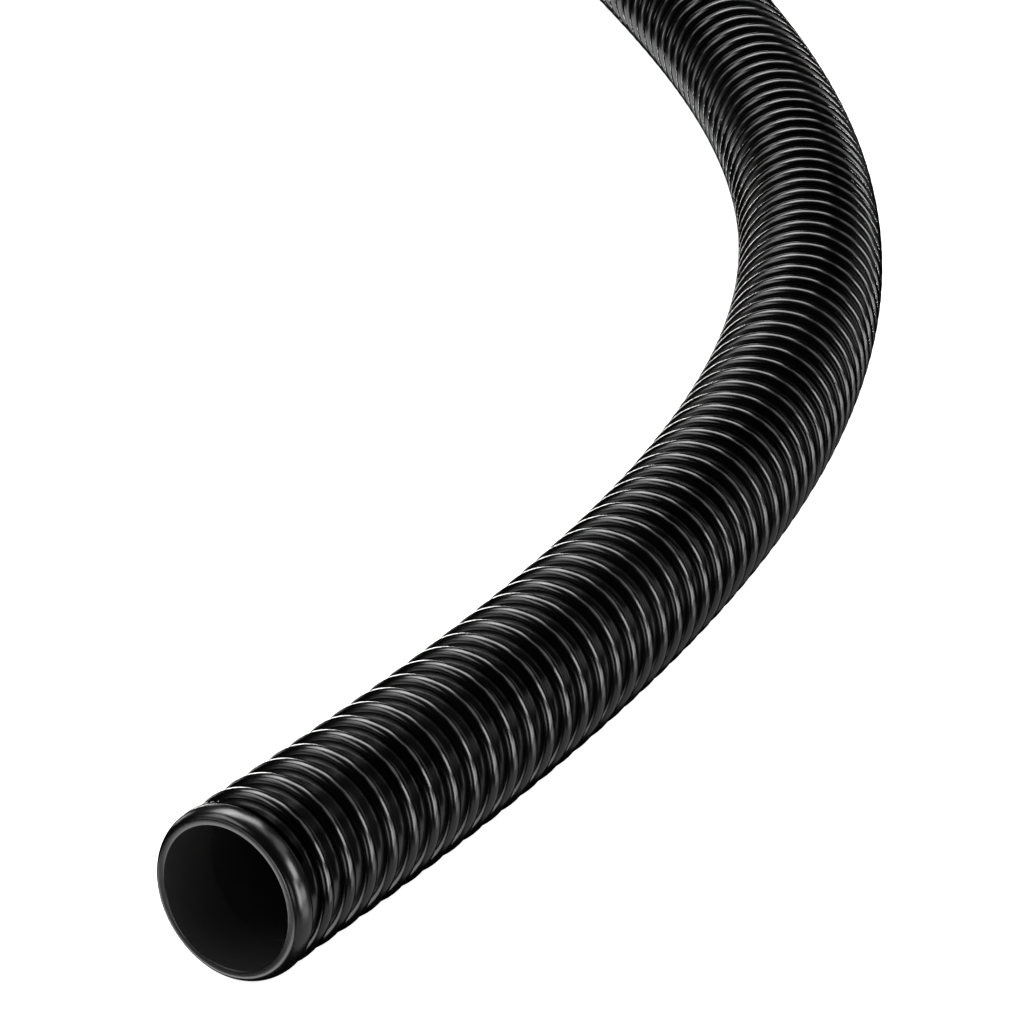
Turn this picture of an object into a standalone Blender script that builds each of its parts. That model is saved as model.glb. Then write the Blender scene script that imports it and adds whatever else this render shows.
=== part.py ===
"""Pool vacuum hose: a 6.1 m ribbed hose of 38 mm bore, its near end lying free and the rest wound
in a strapped coil, with a swivel cuff on the far end. Metres, +Z up, standing on z = 0."""
import math

import bmesh
import bpy
import numpy as np
from mathutils import Matrix

# Driving dimensions
GAP = 0.0003            # between pieces that touch
HOSE_R = 0.0228         # over the ribs
WALL_BORE_R = 0.0207    # inside of the hose wall
BORE_R = 0.0190         # inside of the end bush and of the cuff
TURNED_STEPS = 48       # facets round a small turned piece

MOUTH = (0.5832, -0.5125)      # centre of the near end's mouth, which faces -Y
BUSH_LENGTH = 0.040
BUSH_R = 0.0197                # outside of the part that is pushed into the hose
LIP_LENGTH = 0.0072
LIP_LAND_R = 0.0202            # the lip's flat face reaches out to here
LIP_ROUND = 0.0042             # length of the lip's rounded shoulder
LIP_BACK_ROUND = 0.0012
BUSH_CHAMFER = (0.0004, 0.0020)    # across and along, at the end inside the hose

COIL_CENTRE = (-0.2902, 0.1967)
TURN_PITCH = 0.0465            # between neighbouring turns
MIDDLE_TURN_R = 0.2465
OUTER_TURN_R = MIDDLE_TURN_R + TURN_PITCH
INNER_TURN_R = MIDDLE_TURN_R - TURN_PITCH
RUN_STOPS_R = OUTER_TURN_R + 0.006   # the run's own solid stops at this distance from the coil's centre
BORED_RUN = 0.150              # length of the run whose bore is open, as deep as a fitting goes in
BORED_TAIL = 0.050
BORE_OVERRUN = 0.005           # each bore is cut this far past the hose's end
ROUTE_STEP = 0.005             # between points where a route is measured
RUN_STEP = 0.055               # between the cross-sections of the run
TAIL_STEP = 0.040

STRAP_ANGLES = (130, 195, 260)       # round the coil, in degrees from +X
STRAP_WIDTH = 0.025
STRAP_THICK = 0.0014
STRAP_INSIDE = 0.0006                # room for the coil's curve across a strap's width
COIL_LIFT = STRAP_THICK + GAP        # the coil lies on its straps
BUCKLE_ROD_R = 0.0016
BUCKLE_LENGTH = 0.0180
BUCKLE_WIDTH = STRAP_WIDTH + 0.0070
BUCKLE_CORNER = 0.0030
BUCKLE_AT = MIDDLE_TURN_R - 0.006    # middle of the buckle, from the coil's centre
TAB_DROP = 1.15                      # how far the tab wraps down the outside, in radians

CUFF_END = (-0.2960, 0.4403, 0.0770)   # the hose's far end, in the cuff; the axis runs along -X
# Along the cuff's axis, 0 is the hose's end and + is towards the cuff's open end
SLEEVE_BORE_R = HOSE_R + GAP
SLEEVE_R = 0.0250
SLEEVE_GRIP = 0.034                    # length of hose inside the sleeve
SLEEVE_STOP_R = BORE_R + 0.0006        # the sleeve's step that the hose's end meets
FLANGE_R = 0.0264
FLANGE_BACK = -0.0010
FLANGE_FRONT = 0.0050
EDGE = 0.0004                          # chamfer on the flange
SEAL_R = 0.0230                        # middle of the seal ring, in the flange's front groove
SEAL_THICK = 0.0016
SEAL_GROOVE_HALF = 0.0012
SEAL_GROOVE_DEPTH = 0.0014
CUFF_SHOULDER = FLANGE_FRONT + 0.0008  # the face inside the cuff that the seal meets
COLLAR_R = 0.0294
COLLAR_BACK = -0.0068
COLLAR_EDGE = 0.0012
RING_GROOVE_R = FLANGE_R + 0.0012      # the groove inside the collar for the retaining ring
RING_GROOVE = (-0.0048, -0.0016)
RING_R = FLANGE_R + 0.0009
RING_BORE_R = SLEEVE_R + 0.0004
RING_SPAN = (-0.0045, -0.0019)
CUFF_LENGTH = 0.082                    # from the hose's end to the cuff's open end
CUFF_BODY_R = 0.0228
CUFF_MOUTH_R = BORE_R + 0.0006         # the cuff's bore tapers to this
CUFF_TAPER = 0.030                     # length of the bore's taper
RIDGES = 5
RIDGE_FIRST = 0.0200
RIDGE_PITCH = 0.0096
RIDGE_HIGH = 0.0011

# The run, from how much it bends along its length, in 1/m
RUN_LENGTH = 1.475                     # from the mouth to the coil
BEND_LENGTH = 0.775                    # its first stretch, an even bow
BEND_ENDS = 0.415                      # bend where the bow starts and ends
BEND_MIDDLE = 1.053                    # bend added in its middle
BEND_LATE = -0.138                     # less bend in its first half and more in its second
JOIN_FROM = 0.90                       # from here the run is eased across to meet the coil
JOIN_ANGLE = 95.0                      # where it meets the outer turn, round the coil from +X
LIFT_FROM = 0.95                       # from here it rises to the coil's height
LIFT_OVER = 0.35
RUN_STARTS = 0.0077
RUN_KNOTS = 26

# The tail, by degrees turned round the coil from where the run joins it
TAIL_FROM = 180.0
SPIRAL_TO = 290.0
SPIRAL_KNOT = 10.0
OUTWARD_FROM, OUTWARD_OVER = 230.0, 90.0   # moves out from the inner turn to over the middle one
CLIMB_OVER = 110.0                     # climbs by one turn's pitch
TAIL_HANDLES = (0.11, 0.07)            # of the curve from the spiral's end into the cuff's sleeve
SLEEVE_MOUTH_X = -0.2580
TAIL_CURVE_KNOTS = 5
TAIL_STARTS = 0.060     # the tail's own solid starts this far along its route, above the coil

BLACK = (0.012, 0.012, 0.013, 1.0)


def clear_scene():
    for obj in list(bpy.data.objects):
        bpy.data.objects.remove(obj, do_unlink=True)


def new_collection(name):
    collection = bpy.data.collections.new(name)
    bpy.context.scene.collection.children.link(collection)
    return collection


def material(name, colour, roughness, metallic=0.0):
    found = bpy.data.materials.new(name)
    found.use_nodes = True
    shader = found.node_tree.nodes["Principled BSDF"]
    shader.inputs["Base Color"].default_value = colour
    shader.inputs["Roughness"].default_value = roughness
    shader.inputs["Metallic"].default_value = metallic
    return found


def add_object(name, data, collection, mat=None):
    obj = bpy.data.objects.new(name, data)
    collection.objects.link(obj)
    if mat:
        obj.data.materials.append(mat)
    return obj


def add_empty(name, collection, location, rotation=(0.0, 0.0, 0.0)):
    empty = add_object(name, None, collection)
    empty.empty_display_size = 0.02
    empty.location = location
    empty.rotation_euler = rotation
    return empty


def smooth(mesh):
    mesh.shade_smooth()
    mesh.set_sharp_from_angle(angle=math.radians(35))


def turned(name, outline, steps, collection, mat):
    """A ring turned about the local Z axis. outline is (radius, z), down the outside and up the bore."""
    mesh = bpy.data.meshes.new(name)
    points = [(radius, 0.0, z) for radius, z in outline]
    edges = [(i, (i + 1) % len(points)) for i in range(len(points))]
    mesh.from_pydata(points, edges, [])
    obj = add_object(name, mesh, collection, mat)
    screw = obj.modifiers.new("Turn", "SCREW")
    screw.steps = steps
    screw.render_steps = steps
    screw.use_merge_vertices = True
    screw.merge_threshold = 0.00001
    screw.use_smooth_shade = True
    return obj


def arc(centre, radii, start, end, steps):
    """Points (radius, z) along part of an ellipse; the angles are in degrees from +radius to +z."""
    found = []
    for i in range(steps + 1):
        angle = math.radians(start + (end - start) * i / steps)
        point = (centre[0] + radii[0] * math.cos(angle), centre[1] + radii[1] * math.sin(angle))
        found.append(point)
    return found


def level_ends(share):
    """0 to 1 with level ends, as share goes from 0 to 1."""
    share = np.clip(share, 0.0, 1.0)
    return share * share * (3 - 2 * share)


def ease(share):
    return (1 - np.cos(np.pi * np.clip(share, 0.0, 1.0))) / 2


def run_route():
    """The run's centreline, laid out from its bend: a bow, then tightening into the coil's outer turn."""
    step = 0.0005
    s = np.arange(0.0, RUN_LENGTH + step / 2, step)
    bow = np.clip(s / BEND_LENGTH, 0.0, 1.0) * math.pi
    tighten = np.clip((s - BEND_LENGTH) / (RUN_LENGTH - BEND_LENGTH), 0.0, 1.0) ** 3
    bend = (BEND_ENDS + BEND_MIDDLE * np.sin(bow) + BEND_LATE * np.sin(2 * bow)
            + (1 / OUTER_TURN_R - BEND_ENDS) * tighten)
    heading = math.pi / 2 + np.concatenate([[0.0], np.cumsum((bend[1:] + bend[:-1]) / 2 * step)])
    heading = (heading[1:] + heading[:-1]) / 2
    ahead = np.stack([np.cos(heading), np.sin(heading)], axis=1) * step
    line = np.array(MOUTH)[:2] + np.vstack([[0.0, 0.0], np.cumsum(ahead, axis=0)])
    meet = math.radians(JOIN_ANGLE)
    join = np.array(COIL_CENTRE) + OUTER_TURN_R * np.array([math.cos(meet), math.sin(meet)])
    line = line + (join - line[-1]) * level_ends((s - JOIN_FROM) / (RUN_LENGTH - JOIN_FROM))[:, None]
    height = HOSE_R + COIL_LIFT * level_ends((s - LIFT_FROM) / LIFT_OVER)
    knots = np.linspace(RUN_STARTS, RUN_LENGTH, RUN_KNOTS)
    return np.stack([np.interp(knots, s, value) for value in (line[:, 0], line[:, 1], height)], axis=1)


def tail_spiral(turned):
    """Points of the tail where it climbs off the inner turn."""
    angle = np.radians(JOIN_ANGLE + turned)
    radius = INNER_TURN_R + TURN_PITCH * ease((turned - OUTWARD_FROM) / OUTWARD_OVER)
    height = HOSE_R + COIL_LIFT + TURN_PITCH * ease((turned - TAIL_FROM) / CLIMB_OVER)
    return np.stack([COIL_CENTRE[0] + radius * np.cos(angle), COIL_CENTRE[1] + radius * np.sin(angle), height], axis=1)


def tail_route():
    """The tail's centreline: the spiral, one Bezier curve on from it, and straight through the cuff's sleeve."""
    spiral = tail_spiral(np.arange(TAIL_FROM, SPIRAL_TO + 1.0, SPIRAL_KNOT))
    before, start = tail_spiral(np.array([SPIRAL_TO - 0.1, SPIRAL_TO]))
    ahead = (start - before) * (1.0, 1.0, 0.0)
    ahead /= np.linalg.norm(ahead)
    far_end = np.array(CUFF_END)
    end = np.array([SLEEVE_MOUTH_X, far_end[1], far_end[2]])
    out, back = start + ahead * TAIL_HANDLES[0], end + np.array([TAIL_HANDLES[1], 0.0, 0.0])
    u = np.linspace(0.0, 1.0, TAIL_CURVE_KNOTS + 1)[1:, None]
    curve = (1 - u)**3 * start + 3 * (1 - u)**2 * u * out + 3 * (1 - u) * u**2 * back + u**3 * end
    return np.vstack([spiral, curve, (end + far_end) / 2, far_end])


def spline_points(route, spacing, first=0.0, last=None):
    """Points about spacing apart on the natural cubic spline through the route's points."""
    knots = np.array(route)
    at = np.concatenate([[0.0], np.cumsum(np.linalg.norm(np.diff(knots, axis=0), axis=1))])
    step = np.diff(at)
    count = len(knots)
    system = np.eye(count)
    right = np.zeros((count, 3))
    for i in range(1, count - 1):
        system[i, i - 1:i + 2] = (step[i - 1], 2 * (step[i - 1] + step[i]), step[i])
        right[i] = 6 * ((knots[i + 1] - knots[i]) / step[i] - (knots[i] - knots[i - 1]) / step[i - 1])
    bend = np.linalg.solve(system, right)
    end = at[-1] if last is None else last
    found = []
    for s in np.linspace(first, end, max(2, round((end - first) / spacing) + 1)):
        i = int(np.clip(np.searchsorted(at, s) - 1, 0, count - 2))
        a = (at[i + 1] - s) / step[i]
        b = 1 - a
        cubic = ((a**3 - a) * bend[i] + (b**3 - b) * bend[i + 1]) * step[i] ** 2 / 6
        found.append(a * knots[i] + b * knots[i + 1] + cubic)
    return np.array(found)


RUN_ROUTE = run_route()
TAIL_ROUTE = tail_route()


def tube(name, points, radius, resolution, collection, mat=None):
    """A solid rod of round section along the points, as a mesh with welded caps."""
    data = bpy.data.curves.new(name, "CURVE")
    data.dimensions = "3D"
    data.bevel_depth = radius
    data.bevel_resolution = resolution
    data.use_fill_caps = True
    data.twist_mode = "Z_UP"
    spline = data.splines.new("POLY")
    spline.points.add(len(points) - 1)
    for point, place in zip(spline.points, points):
        point.co = (*place, 1.0)
    curve = add_object(name + "_path", data, collection)
    graph = bpy.context.evaluated_depsgraph_get()
    mesh = bpy.data.meshes.new_from_object(curve.evaluated_get(graph))
    mesh.name = name
    place = curve.matrix_world.copy()
    bpy.data.objects.remove(curve, do_unlink=True)
    shape = bmesh.new()
    shape.from_mesh(mesh)
    bmesh.ops.remove_doubles(shape, verts=shape.verts, dist=0.00001)
    shape.to_mesh(mesh)
    shape.free()
    mesh.materials.clear()
    rod = add_object(name, mesh, collection, mat)
    rod.matrix_world = place
    smooth(mesh)
    return rod


def as_cutter(obj):
    obj.hide_render = True
    obj.display_type = "WIRE"


def cut(obj, cutter):
    as_cutter(cutter)
    boolean = obj.modifiers.new("Cut", "BOOLEAN")
    boolean.operation = "DIFFERENCE"
    boolean.solver = "EXACT"
    boolean.object = cutter


def drum(name, radius, low, high, centre, collection):
    """A plain upright cylinder."""
    shape = bmesh.new()
    place = Matrix.Translation((centre[0], centre[1], (low + high) / 2))
    bmesh.ops.create_cone(shape, cap_ends=True, segments=96, radius1=radius, radius2=radius,
                          depth=high - low, matrix=place)
    mesh = bpy.data.meshes.new(name)
    shape.to_mesh(mesh)
    shape.free()
    return add_object(name, mesh, collection)


def make_end_bush(parts, mat):
    """The smooth lip that ends the hose, with a sleeve pushed into the hose behind it."""
    shoulder = arc((LIP_LAND_R, -LIP_ROUND), (HOSE_R - LIP_LAND_R, LIP_ROUND), 90, 0, 6)
    round_r = LIP_BACK_ROUND
    back = arc((HOSE_R - round_r, -LIP_LENGTH + round_r), (round_r, round_r), 0, -90, 3)
    across, along = BUSH_CHAMFER
    sleeve = [(BUSH_R, -LIP_LENGTH), (BUSH_R, -BUSH_LENGTH + along), (BUSH_R - across, -BUSH_LENGTH)]
    bore = [(BORE_R, -BUSH_LENGTH), (BORE_R, -across), (BORE_R + GAP, 0.0)]
    bush = turned("end_bush", shoulder + back + sleeve + bore, TURNED_STEPS, parts, mat)
    bush.location = (MOUTH[0], MOUTH[1], HOSE_R)
    bush.rotation_euler = (math.radians(90), 0.0, 0.0)
    return bush


def make_hose_run(parts, cutters, mat):
    """The free run, bored from the bush, and cut flush with the outside of the coil."""
    fine = spline_points(RUN_ROUTE, ROUTE_STEP)
    reach = np.linalg.norm(fine[:, :2] - np.array(COIL_CENTRE), axis=1)
    stop = ROUTE_STEP * float(np.argmax(reach < RUN_STOPS_R))
    run = tube("hose_run", spline_points(RUN_ROUTE, RUN_STEP, 0.0, stop), HOSE_R, 4, parts, mat)
    in_front = np.array(RUN_ROUTE[0]) - (0.0, BORE_OVERRUN, 0.0)
    inside = np.vstack([in_front, spline_points(RUN_ROUTE, RUN_STEP, 0.0, BORED_RUN)])
    cut(run, tube("run_bore", inside, WALL_BORE_R, 8, cutters))
    outside = OUTER_TURN_R + HOSE_R + GAP
    cut(run, drum("coil_space", outside, -0.01, 0.06, COIL_CENTRE, cutters))
    return run


def make_hose_coil(parts, mat):
    """The outer shape of the three turns, which lie side by side on their straps."""
    middle = COIL_LIFT + HOSE_R
    outside = arc((OUTER_TURN_R, middle), (HOSE_R, HOSE_R), 90, -90, 8)
    inside = arc((INNER_TURN_R, middle), (HOSE_R, HOSE_R), 270, 90, 8)
    coil = turned("hose_coil", outside + inside, 64, parts, mat)
    coil.location = (*COIL_CENTRE, 0.0)
    return coil


def make_hose_tail(parts, cutters, mat):
    """The last stretch, which climbs onto the coil and ends in the cuff."""
    tail = tube("hose_tail", spline_points(TAIL_ROUTE, TAIL_STEP, TAIL_STARTS), HOSE_R, 4, parts, mat)
    fine = spline_points(TAIL_ROUTE, ROUTE_STEP)
    bored = int(BORED_TAIL / ROUTE_STEP)
    inside = np.vstack([fine[-bored::6], fine[-1] - (BORE_OVERRUN, 0.0, 0.0)])
    cut(tail, tube("tail_bore", inside, WALL_BORE_R, 8, cutters))
    coil_top = COIL_LIFT + 2 * HOSE_R + GAP
    cut(tail, drum("coil_top", 0.4, -0.02, coil_top, COIL_CENTRE, cutters))
    return tail


def make_cuff_sleeve(parts, axis, mat):
    """The sleeve on the hose's end, whose flange turns inside the cuff's collar."""
    groove_floor = FLANGE_FRONT - SEAL_GROOVE_DEPTH
    groove_inside = SEAL_R - SEAL_GROOVE_HALF
    groove_outside = SEAL_R + SEAL_GROOVE_HALF
    outline = [
        (FLANGE_R - EDGE, FLANGE_FRONT), (FLANGE_R, FLANGE_FRONT - EDGE),
        (FLANGE_R, FLANGE_BACK + EDGE), (FLANGE_R - EDGE, FLANGE_BACK),
        (SLEEVE_R, FLANGE_BACK), (SLEEVE_R, -SLEEVE_GRIP + 0.002), (SLEEVE_R - 0.001, -SLEEVE_GRIP),
        (SLEEVE_BORE_R, -SLEEVE_GRIP), (SLEEVE_BORE_R, GAP), (SLEEVE_STOP_R, GAP),
        (SLEEVE_STOP_R, FLANGE_FRONT),
        (groove_inside, FLANGE_FRONT), (groove_inside, groove_floor),
        (groove_outside, groove_floor), (groove_outside, FLANGE_FRONT),
    ]
    sleeve = turned("cuff_sleeve", outline, TURNED_STEPS, parts, mat)
    sleeve.parent = axis
    return sleeve


def make_cuff_seal(parts, axis, mat):
    middle = FLANGE_FRONT - SEAL_GROOVE_DEPTH + GAP + SEAL_THICK / 2
    section = arc((SEAL_R, middle), (SEAL_THICK / 2, SEAL_THICK / 2), 90, -270, 8)[:-1]
    seal = turned("cuff_seal", section, TURNED_STEPS, parts, mat)
    seal.parent = axis
    return seal


def make_swivel_cuff(parts, axis, mat):
    """The cuff that turns on the sleeve: a collar round the flange and a ridged tapering nose."""
    nose = [(CUFF_MOUTH_R, CUFF_LENGTH), (CUFF_BODY_R - 0.0008, CUFF_LENGTH)]
    nose += [(CUFF_BODY_R, CUFF_LENGTH - 0.0010)]
    ridges = []
    for i in reversed(range(RIDGES)):
        base = RIDGE_FIRST + RIDGE_PITCH * i
        ridges += [(CUFF_BODY_R, base + 0.0066), (CUFF_BODY_R + RIDGE_HIGH, base + 0.0056)]
        ridges += [(CUFF_BODY_R + RIDGE_HIGH, base + 0.0030), (CUFF_BODY_R, base + 0.0020)]
    collar = [(CUFF_BODY_R, 0.0175)]
    collar += [(COLLAR_R - 0.0045, 0.0130), (COLLAR_R - 0.0008, 0.0100), (COLLAR_R, 0.0088)]
    collar += [(COLLAR_R, COLLAR_BACK + COLLAR_EDGE), (COLLAR_R - COLLAR_EDGE, COLLAR_BACK)]
    bore = [
        (SLEEVE_R + 0.0005, COLLAR_BACK), (SLEEVE_R + 0.0005, RING_GROOVE[0]),
        (RING_GROOVE_R, RING_GROOVE[0]), (RING_GROOVE_R, RING_GROOVE[1]),
        (FLANGE_R + GAP, RING_GROOVE[1]), (FLANGE_R + GAP, CUFF_SHOULDER),
        (BORE_R, CUFF_SHOULDER), (BORE_R, CUFF_LENGTH - CUFF_TAPER),
    ]
    cuff = turned("swivel_cuff", nose + ridges + collar + bore, TURNED_STEPS, parts, mat)
    cuff.parent = axis
    return cuff


def make_retaining_ring(parts, axis, mat):
    """The ring that holds the flange in the collar."""
    back, front = RING_SPAN
    outline = [(RING_R, front), (RING_R, back), (RING_BORE_R, back), (RING_BORE_R, front)]
    ring = turned("retaining_ring", outline, TURNED_STEPS, parts, mat)
    ring.parent = axis
    return ring


def strap_outline(offset, start, end, steps):
    """Points (x, z) round the coil's section at that offset from it, by the turned angle in degrees."""
    middle = COIL_LIFT + HOSE_R
    found = []
    for i in range(steps + 1):
        angle = start + (end - start) * i / steps
        radians = math.radians(angle)
        side = OUTER_TURN_R if math.cos(radians) >= 0 else INNER_TURN_R - STRAP_INSIDE
        radius = HOSE_R + offset
        found.append((side + radius * math.cos(radians), middle + radius * math.sin(radians)))
    return found


def band(name, outline, closed, parts, mat):
    """A flat strap: the outline drawn out to the strap's width and given its thickness outwards."""
    mesh = bpy.data.meshes.new(name)
    half = STRAP_WIDTH / 2
    points = [(x, side * half, z) for side in (-1, 1) for x, z in outline]
    count = len(outline)
    links = count if closed else count - 1
    faces = [(i, (i + 1) % count, count + (i + 1) % count, count + i) for i in range(links)]
    mesh.from_pydata(points, [], faces)
    strap = add_object(name, mesh, parts, mat)
    solid = strap.modifiers.new("Thickness", "SOLIDIFY")
    solid.thickness = STRAP_THICK
    solid.offset = 1.0
    solid.use_even_offset = True
    return strap


def make_buckle(name, parts, mat):
    """A rectangular loop of round rod."""
    half_x = BUCKLE_LENGTH / 2 - BUCKLE_ROD_R
    half_y = BUCKLE_WIDTH / 2 - BUCKLE_ROD_R
    corner = BUCKLE_CORNER
    data = bpy.data.curves.new(name, "CURVE")
    data.dimensions = "3D"
    data.bevel_depth = BUCKLE_ROD_R
    data.bevel_resolution = 2
    spline = data.splines.new("POLY")
    points = []
    for i, (sx, sy) in enumerate(((1, 1), (-1, 1), (-1, -1), (1, -1))):
        for k in range(4):
            angle = math.radians(90 * i + 30 * k)
            x = sx * (half_x - corner) + corner * math.cos(angle)
            y = sy * (half_y - corner) + corner * math.sin(angle)
            points.append((x, y, 0.0, 1.0))
    spline.points.add(len(points) - 1)
    for point, place in zip(spline.points, points):
        point.co = place
    spline.use_cyclic_u = True
    return add_object(name, data, parts, mat)


def make_strap(number, angle, parts, webbing, plastic):
    """A strap round the coil, its buckle on top and its free end folded back down the outside."""
    hub = add_empty(f"strap_{number}_hub", parts, (*COIL_CENTRE, 0.0), (0.0, 0.0, math.radians(angle)))
    loop = strap_outline(GAP, 90, -90, 12) + strap_outline(GAP, 270, 90.001, 12)
    strap = band(f"strap_{number}", loop, True, parts, webbing)
    strap.parent = hub
    buckle = make_buckle(f"strap_{number}_buckle", parts, plastic)
    top = COIL_LIFT + 2 * HOSE_R + GAP + STRAP_THICK
    buckle.parent = hub
    buckle.location = (BUCKLE_AT, 0.0, top + GAP + BUCKLE_ROD_R)
    fold = 2 * GAP + STRAP_THICK
    start = (BUCKLE_AT + BUCKLE_LENGTH / 2 + GAP, COIL_LIFT + 2 * HOSE_R + fold)
    outline = [start] + strap_outline(fold, 90, 90 - math.degrees(TAB_DROP), 10)
    tab = band(f"strap_{number}_tab", outline, False, parts, webbing)
    tab.parent = hub


def main():
    clear_scene()
    parts = new_collection("vacuum_hose")
    cutters = new_collection("cutters")
    hose = material("hose_plastic", BLACK, 0.16)
    moulded = material("moulded_plastic", BLACK, 0.20)
    dark_grey = material("cuff_plastic", (0.020, 0.020, 0.022, 1.0), 0.32)
    rubber = material("seal_rubber", (0.030, 0.030, 0.030, 1.0), 0.60)
    acetal = material("ring_plastic", (0.55, 0.55, 0.53, 1.0), 0.35)
    webbing = material("strap_webbing", (0.035, 0.036, 0.038, 1.0), 0.85)
    buckle = material("buckle_plastic", (0.018, 0.018, 0.019, 1.0), 0.30)

    make_end_bush(parts, moulded)
    make_hose_run(parts, cutters, hose)
    make_hose_coil(parts, hose)
    make_hose_tail(parts, cutters, hose)
    axis = add_empty("cuff_axis", parts, CUFF_END, (0.0, math.radians(-90), 0.0))
    make_cuff_sleeve(parts, axis, moulded)
    make_cuff_seal(parts, axis, rubber)
    make_swivel_cuff(parts, axis, dark_grey)
    make_retaining_ring(parts, axis, acetal)
    for number, angle in enumerate(STRAP_ANGLES, 1):
        make_strap(number, angle, parts, webbing, buckle)


main()
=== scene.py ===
"""The looks of a pool vacuum hose: ribbed hose, end lip, straps and swivel cuff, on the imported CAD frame."""

import math

import bpy
import numpy as np
from mathutils import Matrix, Vector


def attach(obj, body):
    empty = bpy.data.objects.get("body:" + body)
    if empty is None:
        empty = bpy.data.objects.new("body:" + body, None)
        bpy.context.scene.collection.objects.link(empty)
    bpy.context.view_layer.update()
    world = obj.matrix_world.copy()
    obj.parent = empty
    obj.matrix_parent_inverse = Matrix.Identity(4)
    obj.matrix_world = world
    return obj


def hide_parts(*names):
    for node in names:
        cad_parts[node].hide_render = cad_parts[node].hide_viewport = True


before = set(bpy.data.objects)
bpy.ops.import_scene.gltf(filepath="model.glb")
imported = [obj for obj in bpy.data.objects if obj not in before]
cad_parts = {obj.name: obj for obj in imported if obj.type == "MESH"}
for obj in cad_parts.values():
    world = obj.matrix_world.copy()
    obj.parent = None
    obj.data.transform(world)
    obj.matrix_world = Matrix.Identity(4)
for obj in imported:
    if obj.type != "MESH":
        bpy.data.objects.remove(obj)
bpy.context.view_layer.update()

GAP = 0.0003                           # between pieces that touch, in metres as all sizes are

# Hose
HOSE_R = 0.0228                        # over the ribs
RIB_HALF = 0.0024                      # half of the rib's width
RIB_HIGH = 0.0022
RIB_FOOT = 0.0002                      # the rib's foot stands this deep in the wall
WALL_OUTER_R = HOSE_R - RIB_HIGH
WALL_INNER_R = 0.0200
BORE_R = 0.0190                        # inside of the lip's sleeve and of the cuff
PITCH = 0.00963                        # of the rib's helix
RIB_PHASE = 0.0001
MOUTH = Vector((0.5832, -0.5125, HOSE_R))
NEAR_TO = 0.88                         # the rib that is seen close up ends here
WALL_FINE_TO = 0.9
WALL_SIDES = 56
PATH_STEP = 0.002

# End lip, along the hose from its mouth
LIP_LENGTH = 0.0056
LIP_NOSE = 0.0007                      # the rounded nose stands out this far past the mouth's centre
LIP_TURNED = -2.8                      # degrees that the lip sits askew on the hose
LIP_SLEEVE_R = 0.0197
SLEEVE_END = 0.0182
RIBS_START = 0.0058

# Straps and buckles
STRAP_ANGLES = (130, 195, 260)         # round the coil, in degrees from +X
STRAP_WIDTH = 0.025
STRAP_THICK = 0.0014
STRAP_INSIDE = 0.0006                  # room for the coil's curve across a strap's width
COIL_LIFT = STRAP_THICK + GAP          # the coil lies on its straps
BAND_STEP = 0.0005                     # between a band's cross-sections
BAND_COLUMNS = 29                      # points across a band
WEAVE_HIGH = 0.00012
WEAVE_PITCH = 0.0019
WEAVE_COLUMNS = 7
WEAVE_SLANT = 1.3                      # of the herringbone, in yarns
BAND_HALF = STRAP_THICK / 2 - WEAVE_HIGH
STITCH_EVERY = 0.0030
STITCH_HALF = 0.0013                   # half of a stitch's length
THREAD_R = 0.00036
SEAM_HALF = 0.0095                     # half of the sewn box's width
BUCKLE_ROD_R = 0.0016
BUCKLE_LENGTH = 0.0180
BUCKLE_WIDTH = STRAP_WIDTH + 0.0070
BUCKLE_CORNER = 0.0030
ROD_SIDES = 24
TAB_DROP = 1.15                        # how far the tab wraps down the outside, in radians

# Swivel cuff, along its axis from the hose's end
COLLAR_R = 0.0294
COLLAR_BACK = -0.0068
COLLAR_FRONT = 0.0088
COLLAR_EDGE = 0.0008
CUFF_LENGTH = 0.082
CUFF_BODY_R = 0.0228
CUFF_MOUTH_R = BORE_R + 0.0006         # the bore tapers to this
CUFF_TAPER = 0.030
CUFF_RIM_R = 0.0208                    # middle of the open end's rounded rim
RIDGES = 5
RIDGE_FIRST = 0.0200
RIDGE_PITCH = 0.0096
RIDGE_HIGH = 0.0011
FLUTES = 28
FLUTE_DEPTH = 0.0009
SLEEVE_R = 0.0250
SLEEVE_GRIP = 0.034
SLEEVE_ROUND = 0.0010
SLEEVE_GROOVES = 4
FLANGE_R = 0.0264
FLANGE_BACK = -0.0010
FLANGE_FRONT = 0.0050
FLANGE_EDGE = 0.0004
CUFF_SHOULDER = FLANGE_FRONT + 0.0008  # the face inside the cuff that the seal meets
SEAL_R = 0.0230
SEAL_THICK = 0.0016
SEAL_GROOVE_HALF = 0.0012
SEAL_GROOVE_DEPTH = 0.0014
RING_GROOVE = (-0.0048, -0.0016)       # inside the collar
RING_SPAN = (-0.0045, -0.0019)
RING_EDGE = 0.0003

# Coil, and the hose's far end in the cuff
COIL_CENTRE = (-0.2902, 0.1967)
TURN_PITCH = 0.0465                    # between neighbouring turns
MIDDLE_TURN_R = 0.2465
OUTER_TURN_R = MIDDLE_TURN_R + TURN_PITCH
INNER_TURN_R = MIDDLE_TURN_R - TURN_PITCH
BUCKLE_AT = MIDDLE_TURN_R - 0.006      # middle of the buckle, from the coil's centre
COIL_Z = HOSE_R + COIL_LIFT
COIL_TURNED = 900                      # degrees from where the run joins it to where the tail leaves it
CROSS_FROM, CROSS_OVER = 240.0, 120.0  # degrees in each turn where it crosses to the next one inwards
CUFF_END = Vector((-0.2960, 0.4403, 0.0770))

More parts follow.
